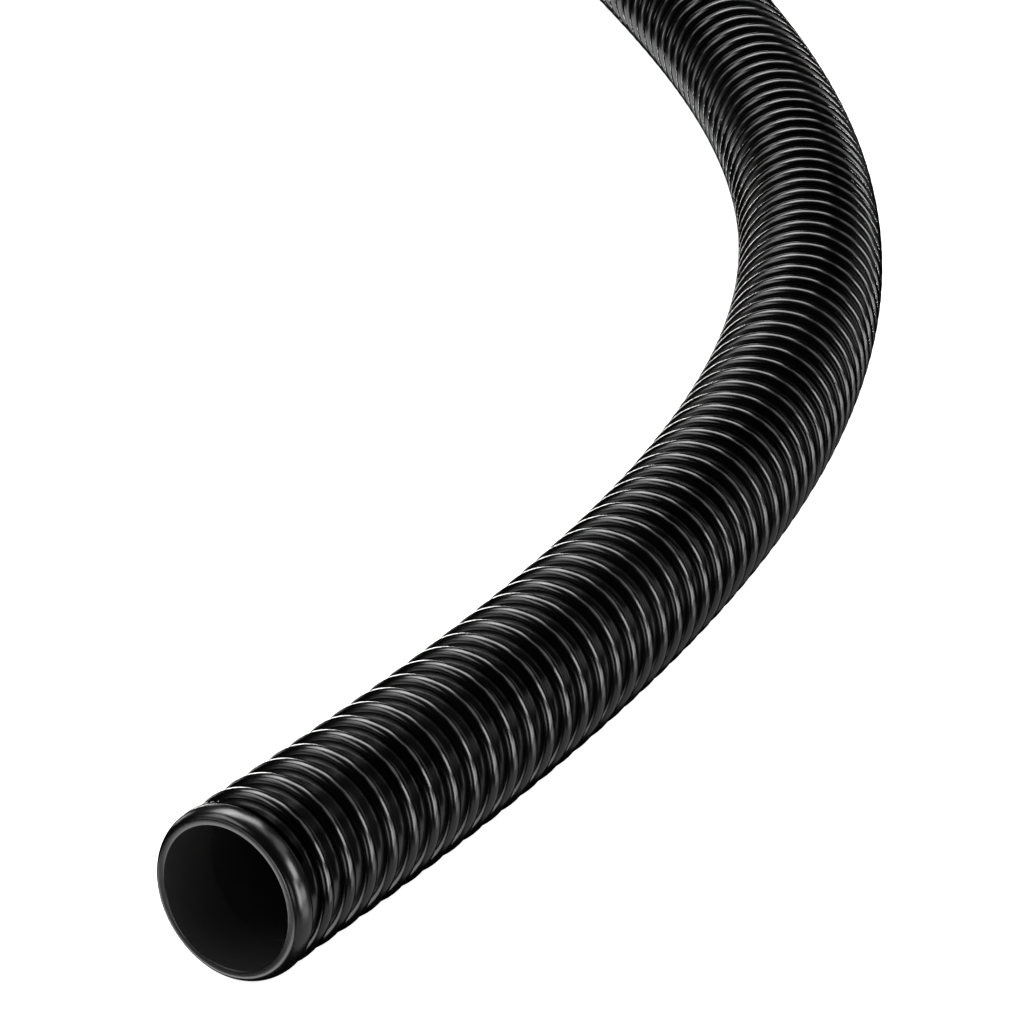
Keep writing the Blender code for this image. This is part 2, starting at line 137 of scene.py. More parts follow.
# The run, from how much it bends along its length, in 1/m
RUN_LENGTH = 1.475                     # from the mouth to the coil
BEND_LENGTH = 0.775                    # its first stretch, an even bow
BEND_ENDS = 0.415                      # bend where the bow starts and ends
BEND_MIDDLE = 1.053                    # bend added in its middle
BEND_LATE = -0.138                     # less bend in its first half and more in its second
JOIN_FROM = 0.90                       # from here the run is eased across to meet the coil
JOIN_ANGLE = 95.0                      # where it meets the outer turn, round the coil from +X
LIFT_FROM = 0.95                       # from here it rises to the coil's height
LIFT_OVER = 0.35
RUN_STARTS = 0.0077
RUN_KNOTS = 26

# The tail, by degrees turned round the coil from where the run joins it
TAIL_FROM = 180.0
SPIRAL_TO = 290.0
SPIRAL_KNOT = 10.0
OUTWARD_FROM, OUTWARD_OVER = 230.0, 90.0   # moves out from the inner turn to over the middle one
CLIMB_OVER = 110.0                     # climbs by one turn's pitch
TAIL_HANDLES = (0.11, 0.07)            # of the curve from the spiral's end into the cuff's sleeve
SLEEVE_MOUTH_X = -0.2580
TAIL_CURVE_KNOTS = 5

# Camera, from the mouth
LENS = 196.3
SENSOR = 36.0
CAMERA_AWAY = Vector((0.70245, -0.98341, 0.62490))
CAMERA_RIGHT = Vector((0.84354, 0.53700, 0.0077))
CAMERA_AHEAD = Vector((-0.49024, 0.77579, -0.3972))

# Lights
LIGHTS_ROUND = Vector((0.45, -0.10, 0.02))
LIGHTS_AWAY = 4.0
DIFFUSE_ABOVE = 40                     # only lights higher than this, in degrees, brighten matt surfaces


# ---------------------------------------------------------------- camera

def make_camera():
    data = bpy.data.cameras.new("camera")
    data.lens = LENS
    data.sensor_width = SENSOR
    data.clip_start = 0.05
    data.clip_end = 30.0
    camera = bpy.data.objects.new("camera", data)
    bpy.context.scene.collection.objects.link(camera)
    ahead = CAMERA_AHEAD.normalized()
    right = (CAMERA_RIGHT - CAMERA_RIGHT.dot(ahead) * ahead).normalized()
    turn = Matrix((right, right.cross(ahead), -ahead)).transposed()
    camera.matrix_world = Matrix.Translation(MOUTH + CAMERA_AWAY) @ turn.to_4x4()
    bpy.context.scene.camera = camera


# ---------------------------------------------------------------- the hose's path

def level_ends(share):
    """0 to 1 with level ends, as share goes from 0 to 1."""
    share = np.clip(share, 0.0, 1.0)
    return share * share * (3 - 2 * share)


def ease(share):
    """0 to 1 along half a cosine, as share goes from 0 to 1."""
    return (1 - np.cos(np.pi * np.clip(share, 0.0, 1.0))) / 2


def run_route():
    """The run's centreline, laid out from its bend: a bow, then tightening into the coil's outer turn."""
    step = 0.0005
    s = np.arange(0.0, RUN_LENGTH + step / 2, step)
    bow = np.clip(s / BEND_LENGTH, 0.0, 1.0) * math.pi
    tighten = np.clip((s - BEND_LENGTH) / (RUN_LENGTH - BEND_LENGTH), 0.0, 1.0) ** 3
    bend = (BEND_ENDS + BEND_MIDDLE * np.sin(bow) + BEND_LATE * np.sin(2 * bow)
            + (1 / OUTER_TURN_R - BEND_ENDS) * tighten)
    heading = math.pi / 2 + np.concatenate([[0.0], np.cumsum((bend[1:] + bend[:-1]) / 2 * step)])
    heading = (heading[1:] + heading[:-1]) / 2
    ahead = np.stack([np.cos(heading), np.sin(heading)], axis=1) * step
    line = np.array(MOUTH)[:2] + np.vstack([[0.0, 0.0], np.cumsum(ahead, axis=0)])
    meet = math.radians(JOIN_ANGLE)
    join = np.array(COIL_CENTRE) + OUTER_TURN_R * np.array([math.cos(meet), math.sin(meet)])
    line = line + (join - line[-1]) * level_ends((s - JOIN_FROM) / (RUN_LENGTH - JOIN_FROM))[:, None]
    height = HOSE_R + COIL_LIFT * level_ends((s - LIFT_FROM) / LIFT_OVER)
    knots = np.linspace(RUN_STARTS, RUN_LENGTH, RUN_KNOTS)
    return np.stack([np.interp(knots, s, value) for value in (line[:, 0], line[:, 1], height)], axis=1)


def tail_spiral(turned):
    """Points of the tail where it climbs off the inner turn."""
    angle = np.radians(JOIN_ANGLE + turned)
    radius = INNER_TURN_R + TURN_PITCH * ease((turned - OUTWARD_FROM) / OUTWARD_OVER)
    height = HOSE_R + COIL_LIFT + TURN_PITCH * ease((turned - TAIL_FROM) / CLIMB_OVER)
    x = COIL_CENTRE[0] + radius * np.cos(angle)
    y = COIL_CENTRE[1] + radius * np.sin(angle)
    return np.stack([x, y, height], axis=1)


def tail_route():
    """The tail's centreline: the spiral, one Bezier curve on from it, and straight into the sleeve."""
    spiral = tail_spiral(np.arange(TAIL_FROM, SPIRAL_TO + 1.0, SPIRAL_KNOT))
    before, start = tail_spiral(np.array([SPIRAL_TO - 0.1, SPIRAL_TO]))
    ahead = (start - before) * (1.0, 1.0, 0.0)
    ahead /= np.linalg.norm(ahead)
    far_end = np.array(CUFF_END)
    end = np.array([SLEEVE_MOUTH_X, far_end[1], far_end[2]])
    out, back = start + ahead * TAIL_HANDLES[0], end + np.array([TAIL_HANDLES[1], 0.0, 0.0])
    u = np.linspace(0.0, 1.0, TAIL_CURVE_KNOTS + 1)[1:, None]
    curve = (1 - u)**3 * start + 3 * (1 - u)**2 * u * out + 3 * (1 - u) * u**2 * back + u**3 * end
    return np.vstack([spiral, curve, (end + far_end) / 2, far_end])


def along_line(line):
    """Each point's distance along a line from its start."""
    return np.concatenate([[0.0], np.cumsum(np.linalg.norm(np.diff(line, axis=0), axis=1))])


def at_places(places, along, line):
    """The line's points at places along it."""
    return np.stack([np.interp(places, along, line[:, k]) for k in range(line.shape[1])], axis=-1)


def unit(vectors):
    return vectors / np.linalg.norm(vectors, axis=-1)[..., None]


def spline_points(knots):
    """Points about PATH_STEP apart on the natural cubic spline through the knots."""
    at = along_line(knots)
    step = np.diff(at)
    count = len(knots)
    system = np.eye(count)
    right = np.zeros((count, 3))
    for i in range(1, count - 1):
        system[i, i - 1:i + 2] = (step[i - 1], 2 * (step[i - 1] + step[i]), step[i])
        right[i] = 6 * ((knots[i + 1] - knots[i]) / step[i] - (knots[i] - knots[i - 1]) / step[i - 1])
    bend = np.linalg.solve(system, right)
    places = np.linspace(0.0, at[-1], round(at[-1] / PATH_STEP) + 1)
    i = np.clip(np.searchsorted(at, places) - 1, 0, count - 2)
    a = ((at[i + 1] - places) / step[i])[:, None]
    b = 1 - a
    wide = (step[i] ** 2)[:, None]
    return a * knots[i] + b * knots[i + 1] + ((a**3 - a) * bend[i] + (b**3 - b) * bend[i + 1]) * wide / 6


def coil_points():
    """Two and a half turns side by side, from the outside in, with a point every half degree."""
    found = []
    for step in range(1, COIL_TURNED * 2):
        turned = step / 2
        turn, within = divmod(turned, 360.0)
        inwards = min(turn + float(ease((within - CROSS_FROM) / CROSS_OVER)), 2.0)
        radius = OUTER_TURN_R - TURN_PITCH * inwards
        angle = math.radians(JOIN_ANGLE + turned)
        x = COIL_CENTRE[0] + radius * math.cos(angle)
        y = COIL_CENTRE[1] + radius * math.sin(angle)
        found.append((x, y, COIL_Z))
    return np.array(found)


def whole_path():
    """The evenly spaced centreline from the mouth to the far end, smoothed where its stretches meet."""
    run, tail = spline_points(run_route()), spline_points(tail_route())
    line = np.vstack([np.array(MOUTH), run, coil_points(), tail])
    along = along_line(line)
    line = at_places(np.linspace(0.0, along[-1], round(along[-1] / PATH_STEP) + 1), along, line)
    kept, rounds = 20, 6
    for _ in range(rounds):
        inner = (line[:-2] + 2 * line[1:-1] + line[2:]) / 4
        inner[:kept] = line[1:kept + 1]
        line[1:-1] = inner
    along = along_line(line)
    return along, line, unit(np.gradient(line, along, axis=0))


ALONG, LINE, AHEAD = whole_path()
TOTAL = float(ALONG[-1])
HOSE_END = TOTAL - GAP


def on_hose(s, angle, radius):
    """Points at distance s along the hose, angle from the top to the right, and radius from its middle."""
    s, angle, radius = np.broadcast_arrays(s, angle, radius)
    ahead = unit(at_places(s, ALONG, AHEAD))
    right = unit(np.cross(ahead, (0.0, 0.0, 1.0)))
    up = np.cross(right, ahead)
    out = up * np.cos(angle)[..., None] + right * np.sin(angle)[..., None]
    return at_places(s, ALONG, LINE) + radius[..., None] * out


# ---------------------------------------------------------------- making meshes

def make_piece(name, parts, body, sharp=None):
    """One object from parts of (points, faces, material, rise). Rise is each point's height in a weave."""
    mesh = bpy.data.meshes.new(name)
    points, faces, owner, rises, mats = [], [], [], [], []
    for part_points, part_faces, mat, rise in parts:
        part_points = np.asarray(part_points).reshape(-1, 3)
        start = len(rises)
        points.append(part_points)
        faces += [[start + k for k in face] for face in part_faces]
        if mat not in mats:
            mats.append(mat)
        owner += [mats.index(mat)] * len(part_faces)
        rises += list(np.zeros(len(part_points)) if rise is None else np.asarray(rise).ravel())
    mesh.from_pydata(np.concatenate(points).tolist(), [], faces)
    for mat in mats:
        mesh.materials.append(mat)
    mesh.polygons.foreach_set("material_index", owner)
    if any(part[3] is not None for part in parts):
        mesh.attributes.new("rise", "FLOAT", "POINT").data.foreach_set("value", rises)
    mesh.shade_smooth()
    if sharp:
        mesh.set_sharp_from_angle(angle=math.radians(sharp))
    obj = bpy.data.objects.new(name, mesh)
    bpy.context.scene.collection.objects.link(obj)
    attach(obj, body)
    return obj


def grid_faces(rows, columns, start=0):
    """Quads of a grid of rows by columns of points, joined round its columns."""
    row = np.arange(rows - 1)[:, None]
    column = np.arange(columns)[None, :]
    after = (column + 1) % columns
    a = start + row * columns + column
    b = start + row * columns + after
    return np.stack([a, b, b + columns, a + columns], axis=-1).reshape(-1, 4).tolist()


def closing_faces(rows, columns):
    """Quads from a grid's last row round to its first."""
    last = (rows - 1) * columns
    return [(last + k, last + (k + 1) % columns, (k + 1) % columns, k) for k in range(columns)]


def arc(centre, radii, start, end, steps):
    found = []
    for i in range(steps + 1):
        angle = math.radians(start + (end - start) * i / steps)
        found.append((centre[0] + radii[0] * math.cos(angle), centre[1] + radii[1] * math.sin(angle)))
    return found


def rib_profile(fine):
    """The rib's section, a round bead with its foot in the wall: distance along the hose, and radius."""
    foot = WALL_OUTER_R - RIB_FOOT
    bead = arc((0.0, WALL_OUTER_R), (RIB_HALF, RIB_HIGH), 180, 0, 14 if fine else 5)
    return [(-RIB_HALF, foot)] + bead + [(RIB_HALF, foot)]


def make_rib(name, start, end, around, fine, mat):
    """The helical rib from start to end along the hose, as one closed bead, left-handed."""
    profile = np.array(rib_profile(fine))
    count = len(profile)
    first = math.floor((start - RIB_PHASE - PITCH) / PITCH * around)
    last = math.ceil((end - RIB_PHASE) / PITCH * around)
    i = np.arange(first, last + 1)
    middle = RIB_PHASE + PITCH * (i / around + 0.5)
    keep = (middle + RIB_HALF > start) & (middle - RIB_HALF < end)
    i, middle = i[keep], middle[keep]
    angle = -2 * math.pi * i / around
    s = np.clip(middle[:, None] + profile[None, :, 0], start, end)
    points = on_hose(s, angle[:, None], profile[None, :, 1])
    faces = grid_faces(len(i), count)
    faces.append(list(range(count))[::-1])
    faces.append([(len(i) - 1) * count + k for k in range(count)])
    return make_piece(name, [(points, faces, mat, None)], "hose", 60)


def make_wall(mat, bore_mat):
    """The hose's wall inside its ribs, as the piece named hose, and the path that it follows."""
    near = np.sort(np.append(np.arange(RIBS_START, WALL_FINE_TO, 0.005), (SLEEVE_END - 0.0001, SLEEVE_END)))
    far = np.linspace(WALL_FINE_TO, HOSE_END, round((TOTAL - WALL_FINE_TO) / 0.012))
    s = np.concatenate([near, far])
    angle = -2 * math.pi * np.arange(WALL_SIDES) / WALL_SIDES
    outside = on_hose(s[:, None], angle[None, :], WALL_OUTER_R)
    bore = np.where(s < SLEEVE_END, WALL_INNER_R, BORE_R + 0.00005)
    inside = on_hose(s[::-1, None], angle[None, :], bore[::-1, None])
    rows = len(s)
    shell = np.concatenate([outside.reshape(-1, 3), inside.reshape(-1, 3)])
    faces = grid_faces(2 * rows, WALL_SIDES) + closing_faces(2 * rows, WALL_SIDES)
    wall = make_piece("hose", [(shell, faces, mat, None)], "hose", 60)
    wall.data.materials.append(bore_mat)
    inner = [0] * ((rows - 1) * WALL_SIDES) + [1] * (rows * WALL_SIDES) + [0] * WALL_SIDES
    wall.data.polygons.foreach_set("material_index", inner)
    return wall, on_hose(s, 0.0, 0.0)


def turned_part(outline, place, turn, steps, mat, shape=None):
    """A ring turned about local Z from its outline of (radius, z). shape may change its radii."""
    outline = np.array(outline)
    angle = (2 * math.pi * np.arange(steps) / steps)[:, None]
    radius = np.broadcast_to(outline[None, :, 0], (steps, len(outline)))
    z = np.broadcast_to(outline[None, :, 1], radius.shape)
    if shape:
        radius = shape(radius, z, angle)
    points = np.stack([radius * np.cos(angle), radius * np.sin(angle), z], axis=-1).reshape(-1, 3)
    count = len(outline)
    at = Matrix.Translation(place) @ turn
    points = points @ np.array(at.to_3x3()).T + np.array(at.translation)
    return points, grid_faces(steps, count) + closing_faces(steps, count), mat, None


# ---------------------------------------------------------------- materials

def new_material(name, colour, roughness, ior=1.45):
    mat = bpy.data.materials.new(name)
    mat.use_nodes = True
    shader = mat.node_tree.nodes["Principled BSDF"]
    shader.inputs["Base Color"].default_value = (*colour, 1.0)
    shader.inputs["Roughness"].default_value = roughness
    shader.inputs["IOR"].default_value = ior
    return mat, mat.node_tree, shader


def noise(tree, scale, detail, stretch=(1.0, 1.0, 1.0)):
    """Noise over the object, scale cells to the metre, drawn out by stretch."""
    place = tree.nodes.new("ShaderNodeTexCoord")
    mapping = tree.nodes.new("ShaderNodeMapping")
    mapping.inputs["Scale"].default_value = stretch
    texture = tree.nodes.new("ShaderNodeTexNoise")
    texture.inputs["Scale"].default_value = scale
    texture.inputs["Detail"].default_value = detail
    tree.links.new(place.outputs["Object"], mapping.inputs["Vector"])
    tree.links.new(mapping.outputs["Vector"], texture.inputs["Vector"])
    return texture.outputs["Fac"]


def spread(tree, value, low, high, to_low=0.0, to_high=1.0):
    """A value from low to high brought to run from to_low to to_high."""
    node = tree.nodes.new("ShaderNodeMapRange")
    for key, number in (("From Min", low), ("From Max", high), ("To Min", to_low), ("To Max", to_high)):
        node.inputs[key].default_value = number
    tree.links.new(value, node.inputs["Value"])
    return node.outputs["Result"]


def blend_colours(tree, share, first, second):
    node = tree.nodes.new("ShaderNodeMix")
    node.data_type = "RGBA"
    tree.links.new(share, node.inputs["Factor"])
    for socket, colour in ((node.inputs[6], first), (node.inputs[7], second)):
        if isinstance(colour, tuple):
            socket.default_value = (*colour, 1.0)
        else:
            tree.links.new(colour, socket)
    return node.outputs[2]


def combine(tree, operation, first, second):
    node = tree.nodes.new("ShaderNodeMath")
    node.operation = operation
    for socket, value in zip(node.inputs, (first, second)):
        if isinstance(value, float):
            socket.default_value = value
        else:
            tree.links.new(value, socket)
    return node.outputs[0]


def add_bump(tree, shader, height, strength, distance):
    bump = tree.nodes.new("ShaderNodeBump")
    bump.inputs["Strength"].default_value = strength
    bump.inputs["Distance"].default_value = distance
    tree.links.new(height, bump.inputs["Height"])
    tree.links.new(bump.outputs["Normal"], shader.inputs["Normal"])


def plastic(name, dark, light, smooth, rough, ior, grain_scale, grain, edge=None):
    """Moulded plastic: cloudy colour and gloss, fine scratches, a grain, and edges rubbed to the edge colour."""
    mat, tree, shader = new_material(name, dark, smooth, ior)
    clouds = noise(tree, 35.0, 3.0)
    scratches = spread(tree, noise(tree, 260.0, 2.0, (1.0, 0.12, 1.0)), 0.62, 0.72)
    colour = blend_colours(tree, spread(tree, clouds, 0.35, 0.65), dark, light)
    gloss = spread(tree, clouds, 0.3, 0.7, smooth, rough)
    gloss = combine(tree, "ADD", gloss, combine(tree, "MULTIPLY", scratches, 0.25 * (rough - smooth) + 0.01))
    if edge:
        geometry = tree.nodes.new("ShaderNodeNewGeometry")
        worn = spread(tree, geometry.outputs["Pointiness"], 0.52, 0.58)
        worn = combine(tree, "MULTIPLY", worn, spread(tree, noise(tree, 420.0, 4.0), 0.40, 0.60))
        colour = blend_colours(tree, worn, colour, edge)
        gloss = combine(tree, "ADD", gloss, combine(tree, "MULTIPLY", worn, 0.12))
    tree.links.new(colour, shader.inputs["Base Color"])
    tree.links.new(gloss, shader.inputs["Roughness"])
    add_bump(tree, shader, noise(tree, grain_scale, 3.0), grain, 0.0002)
    return mat


def webbing(name, shaded_valley, lit_crest):
    """Woven polypropylene: painted shade darkens it between the yarns and a painted highlight makes it paler on
    the yarns, which are also fuzzier, with fine filaments.
    """
    mat, tree, shader = new_material(name, shaded_valley, 0.75, 1.48)
    shader.inputs["Sheen Weight"].default_value = 0.25
    shader.inputs["Sheen Roughness"].default_value = 0.45
    rise = tree.nodes.new("ShaderNodeAttribute")
    rise.attribute_name = "rise"
    filaments = noise(tree, 2600.0, 3.0)
    # painted shade and highlight: the weave's rise turns the colour from the shaded valley colour between the
    # yarns to the lit crest colour on them, mixed with random tone from filaments and patches
    share = combine(tree, "MULTIPLY", spread(tree, rise.outputs["Fac"], 0.05, 0.95),
                    spread(tree, filaments, 0.30, 0.60, 0.45, 1.0))
    share = combine(tree, "MULTIPLY", share, spread(tree, noise(tree, 60.0, 2.0), 0.3, 0.7, 0.75, 1.0))
    tree.links.new(blend_colours(tree, share, shaded_valley, lit_crest), shader.inputs["Base Color"])
    tree.links.new(spread(tree, share, 0.0, 1.0, 0.90, 0.62), shader.inputs["Roughness"])
    add_bump(tree, shader, filaments, 0.35, 0.0002)
    return mat


# ---------------------------------------------------------------- straps

def resample(points, closed=False):
    """Points BAND_STEP apart along a line."""
    points = np.array(points)
    if closed:
        points = np.vstack([points, points[:1]])
    along = along_line(points)
    even = np.linspace(0.0, along[-1], round(along[-1] / BAND_STEP) + 1)
    return at_places(even[:-1] if closed else even, along, points)


def beside(line, closed=False):
    """Unit normals of a line in the hub's upright plane, to the left of its direction."""
    if closed:
        ahead = np.roll(line, -1, axis=0) - np.roll(line, 1, axis=0)
    else:
        ahead = np.gradient(line, axis=0)
    ahead = unit(ahead)
    return np.stack([-ahead[:, 1], ahead[:, 0]], axis=1)


def in_hub(hub, x, y, z):
    """Points in the upright plane through the coil's centre at hub degrees: x outwards, y round the coil."""
    angle = math.radians(hub)
    return np.stack([COIL_CENTRE[0] + x * math.cos(angle) - y * math.sin(angle),
                     COIL_CENTRE[1] + x * math.sin(angle) + y * math.cos(angle), z], axis=-1)


def band_part(line, hub, mat, closed=False):
    """A woven band about a line of (x, z) in the hub's plane: herringbone yarns, thinner selvedges."""
    normal = beside(line, closed)
    across = np.linspace(-1.0, 1.0, BAND_COLUMNS)
    count = len(line)
    u = np.arange(count)[:, None] * BAND_STEP / WEAVE_PITCH
    column = (across + 1) / 2 * WEAVE_COLUMNS
    slant = np.abs(column / 2 - np.round(column / 2)) * 2
    yarn = 0.5 + 0.5 * np.cos(2 * math.pi * (u + WEAVE_SLANT * slant[None, :]))
    edge = np.sqrt(np.clip((1 - np.abs(across)) / 0.05, 0.0, 1.0))
    rise = yarn * edge[None, :]
    half = BAND_HALF * (0.55 + 0.45 * edge)[None, :] + WEAVE_HIGH * rise
    y = np.broadcast_to(across[None, :] * STRAP_WIDTH / 2, rise.shape)
    left = in_hub(hub, line[:, :1] + normal[:, :1] * half, y, line[:, 1:] + normal[:, 1:] * half)
    right = in_hub(hub, line[:, :1] - normal[:, :1] * half, y, line[:, 1:] - normal[:, 1:] * half)
    ring = np.concatenate([left, right[:, ::-1]], axis=1)
    rises = np.concatenate([rise, rise[:, ::-1]], axis=1)
    around = ring.shape[1]
    faces = grid_faces(count, around)
    if closed:
        faces += closing_faces(count, around)
    else:
        for row, turn in ((0, 1), (count - 1, -1)):
            for k in range(len(across) - 1):
                a, b = row * around + k, row * around + k + 1
                faces.append((b, a, row * around + around - 1 - k, row * around + around - 2 - k)[::turn])
    return ring, faces, mat, rises


def stitch_part(line, hub, side, seams, mat):
    """Rows of thread on a band's surface. Each seam is (u, v) to (u, v), along the line and across it."""
    normal = beside(line) * side
    along = np.arange(len(line)) * BAND_STEP
    sides, rings = 8, 7
    points, faces = [], []
    for (u0, v0), (u1, v1) in seams:
        length = math.hypot(u1 - u0, v1 - v0)
        number = max(1, round(length / STITCH_EVERY))
        for k in range(number):
            share = (k + 0.5) / number
            u, v = u0 + (u1 - u0) * share, v0 + (v1 - v0) * share
            at = at_places(u, along, line)
            out = unit(at_places(u, along, normal))
            ahead = np.array([out[1], -out[0]]) * side
            at = at + out * (BAND_HALF + WEAVE_HIGH * 0.8)
            du, dv = (u1 - u0) / length, (v1 - v0) / length
            for ring in range(rings):
                reach = -1 + 2 * ring / (rings - 1)
                wide = THREAD_R * math.sqrt(max(1 - reach * reach, 0.02))
                for turn in range(sides):
                    angle = 2 * math.pi * turn / sides
                    over = STITCH_HALF * reach * du - wide * math.cos(angle) * dv
                    away = STITCH_HALF * reach * dv + wide * math.cos(angle) * du
                    lift = wide * 0.8 * math.sin(angle) - WEAVE_HIGH * reach * reach
                    spot = at + ahead * over + out * lift
                    points.append((spot[0], v + away, spot[1]))
            start = len(points) - rings * sides
            faces += grid_faces(rings, sides, start)
            faces.append([start + turn for turn in range(sides)][::-1])
            faces.append([start + (rings - 1) * sides + turn for turn in range(sides)])
    points = np.array(points)
    return in_hub(hub, points[:, 0], points[:, 1], points[:, 2]), faces, mat, np.full(len(points), 0.7)


def round_coil(offset, start, end, steps=60):
    """Points (x, z) round the coil's section, offset from the hose, by the turned angle in degrees."""
    found = []
    for i in range(steps + 1):
        radians = math.radians(start + (end - start) * i / steps)
        side = OUTER_TURN_R if math.cos(radians) >= 0 else INNER_TURN_R - STRAP_INSIDE
        radius = HOSE_R + offset
        found.append((side + radius * math.cos(radians), COIL_Z + radius * math.sin(radians)))
    return found


def box_seam(u0, u1):
    """A sewn box with a cross in it."""
    corners = [(u0, -SEAM_HALF), (u1, -SEAM_HALF), (u1, SEAM_HALF), (u0, SEAM_HALF)]
    sides = [(corners[k], corners[(k + 1) % 4]) for k in range(4)]
    return sides + [(corners[0], corners[2]), (corners[1], corners[3])]


def make_strap(number, hub, web, thread, moulded):
    """A strap round the coil: sewn loop, buckle, and the free end through the buckle and down the outside."""
    middle = STRAP_THICK / 2
    loop = resample(round_coil(GAP + middle, 90, -90) + round_coil(GAP + middle, 270, 90.001), closed=True)
    top = COIL_LIFT + 2 * HOSE_R + GAP + STRAP_THICK
    rod_z = top + GAP + BUCKLE_ROD_R
    reach = BUCKLE_ROD_R + GAP + middle
    lie = top + GAP + middle
    inner_bar = BUCKLE_AT - BUCKLE_LENGTH / 2 + BUCKLE_ROD_R
    outer_bar = BUCKLE_AT + BUCKLE_LENGTH / 2 - BUCKLE_ROD_R
    over = arc((inner_bar, rod_z), (reach, reach), 150, 12, 16)
    before = [(inner_bar - 0.036, lie), (inner_bar - 0.0048, lie), (inner_bar - 0.0034, lie + 0.0004)]
    keeper = resample(before + over + [(inner_bar + 0.0034, lie)])
    strap = make_piece(f"strap_band_{number}", [
        band_part(loop, hub, web, closed=True), band_part(keeper, hub, web),
        stitch_part(keeper, hub, 1, box_seam(0.003, 0.026), thread)], "hose", 50)
    over = arc((outer_bar, rod_z), (reach, reach), 168, 30, 16)
    fold = 2 * GAP + STRAP_THICK + middle
    tab = resample([(outer_bar - 0.0062, lie), (outer_bar - 0.0036, lie)] + over
                   + [(outer_bar + 0.0036, lie + 0.0004), (outer_bar + 0.0052, lie)]
                   + round_coil(fold, 90, 90 - math.degrees(TAB_DROP), 30))
    length = BAND_STEP * (len(tab) - 1)
    seams = box_seam(length - 0.026, length - 0.004)
    end = make_piece(f"strap_end_{number}", [
        band_part(tab, hub, web), stitch_part(tab, hub, 1, seams, thread)], "hose", 50)
    rod = rod_part(hub, rod_z, moulded)
    buckle = make_piece(f"strap_buckle_{number}", [rod], "hose", 50)
    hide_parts(f"strap_{number}")
    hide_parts(f"strap_{number}_tab")
    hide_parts(f"strap_{number}_buckle")
    return [strap, end, buckle]


def rod_part(hub, rod_z, mat):
    """The buckle: a rounded rectangular loop of rod with a faint moulding seam round its outside."""
    half_x = BUCKLE_LENGTH / 2 - BUCKLE_ROD_R - BUCKLE_CORNER
    half_y = BUCKLE_WIDTH / 2 - BUCKLE_ROD_R - BUCKLE_CORNER
    centres, outs = [], []
    for quarter, (sx, sy) in enumerate(((1, 1), (-1, 1), (-1, -1), (1, -1))):
        corner = (BUCKLE_AT + sx * half_x, sy * half_y)
        turned = (90 * quarter, 90 * quarter + 90, 12)
        centres += arc(corner, (BUCKLE_CORNER, BUCKLE_CORNER), *turned)
        outs += arc((0.0, 0.0), (1.0, 1.0), *turned)
    centres, outs = np.array(centres), np.array(outs)
    angle = 2 * math.pi * np.arange(ROD_SIDES) / ROD_SIDES
    radius = BUCKLE_ROD_R * (1 - 0.05 * (1 - np.abs(np.cos(angle)) ** 6))
    x = centres[:, :1] + outs[:, :1] * (radius * np.cos(angle))[None, :]
    y = centres[:, 1:] + outs[:, 1:] * (radius * np.cos(angle))[None, :]
    z = np.broadcast_to((rod_z + radius * np.sin(angle))[None, :], x.shape)
    count = len(centres)
    faces = grid_faces(count, ROD_SIDES) + closing_faces(count, ROD_SIDES)
    return in_hub(hub, x, y, z), faces, mat, None


# ---------------------------------------------------------------- swivel cuff

def cuff_outline():
    """Down the outside from the open end, then up the bore."""
    found = arc((CUFF_RIM_R, CUFF_LENGTH - 0.0010), (0.0010, 0.0010), 90, 0, 6)
    found += [(CUFF_BODY_R - 0.0006, CUFF_LENGTH - 0.0022), (CUFF_BODY_R, CUFF_LENGTH - 0.0050)]
    for i in reversed(range(RIDGES)):
        base = RIDGE_FIRST + RIDGE_PITCH * i
        for share in np.linspace(0.0, 1.0, 13).tolist():
            high = RIDGE_HIGH * max(math.sin(math.pi * share), 0.0) ** 0.7
            found.append((CUFF_BODY_R + high, base + 0.0066 - 0.0046 * share))
    found += arc((CUFF_BODY_R + 0.0030, 0.0172), (0.0030, 0.0030), 180, 235, 8)
    found += [(COLLAR_R - 0.0030, 0.0124)]
    found += arc((COLLAR_R - 0.0022, COLLAR_FRONT), (0.0022, 0.0030), 75, 0, 8)
    found += [(COLLAR_R, COLLAR_FRONT - 0.0010 * k) for k in range(1, 15)]
    found += arc((COLLAR_R - COLLAR_EDGE, COLLAR_BACK + COLLAR_EDGE), (COLLAR_EDGE, COLLAR_EDGE), 0, -90, 6)
    groove_back, groove_front = RING_GROOVE
    collar_bore, groove_r = SLEEVE_R + 0.0005, FLANGE_R + 0.0012
    found += [(collar_bore, COLLAR_BACK), (collar_bore, groove_back), (groove_r, groove_back),
              (groove_r, groove_front), (FLANGE_R + GAP, groove_front), (FLANGE_R + GAP, CUFF_SHOULDER),
              (BORE_R, CUFF_SHOULDER), (BORE_R, CUFF_LENGTH - CUFF_TAPER)]
    found += [(BORE_R + (CUFF_MOUTH_R - BORE_R) * k / 6, CUFF_LENGTH - CUFF_TAPER + 0.0288 * k / 6)
              for k in range(1, 7)]
    found += arc((CUFF_RIM_R, CUFF_LENGTH - 0.0012), (0.0012, 0.0012), 180, 100, 5)
    return found


def fluted(radius, z, angle):
    """Finger flutes round the collar and two moulding seams down the cuff."""
    within = np.clip((z - COLLAR_BACK - 0.0016) / 0.0020, 0, 1) * np.clip((0.0092 - z) / 0.0024, 0, 1)
    within = within * within * (3 - 2 * within) * (radius > COLLAR_R - 0.0016)
    flute = np.clip(0.5 - 0.5 * np.cos(FLUTES * angle), 0, 1) ** 0.8
    seam = 0.00012 * np.exp(-((np.mod(angle + math.pi / 2, math.pi) - math.pi / 2) / 0.010) ** 2)
    outside = (radius > CUFF_BODY_R - 0.0001) & (radius < COLLAR_R - 0.0004) & (z > 0.0135)
    return radius - FLUTE_DEPTH * within * (1 - flute) + seam * outside


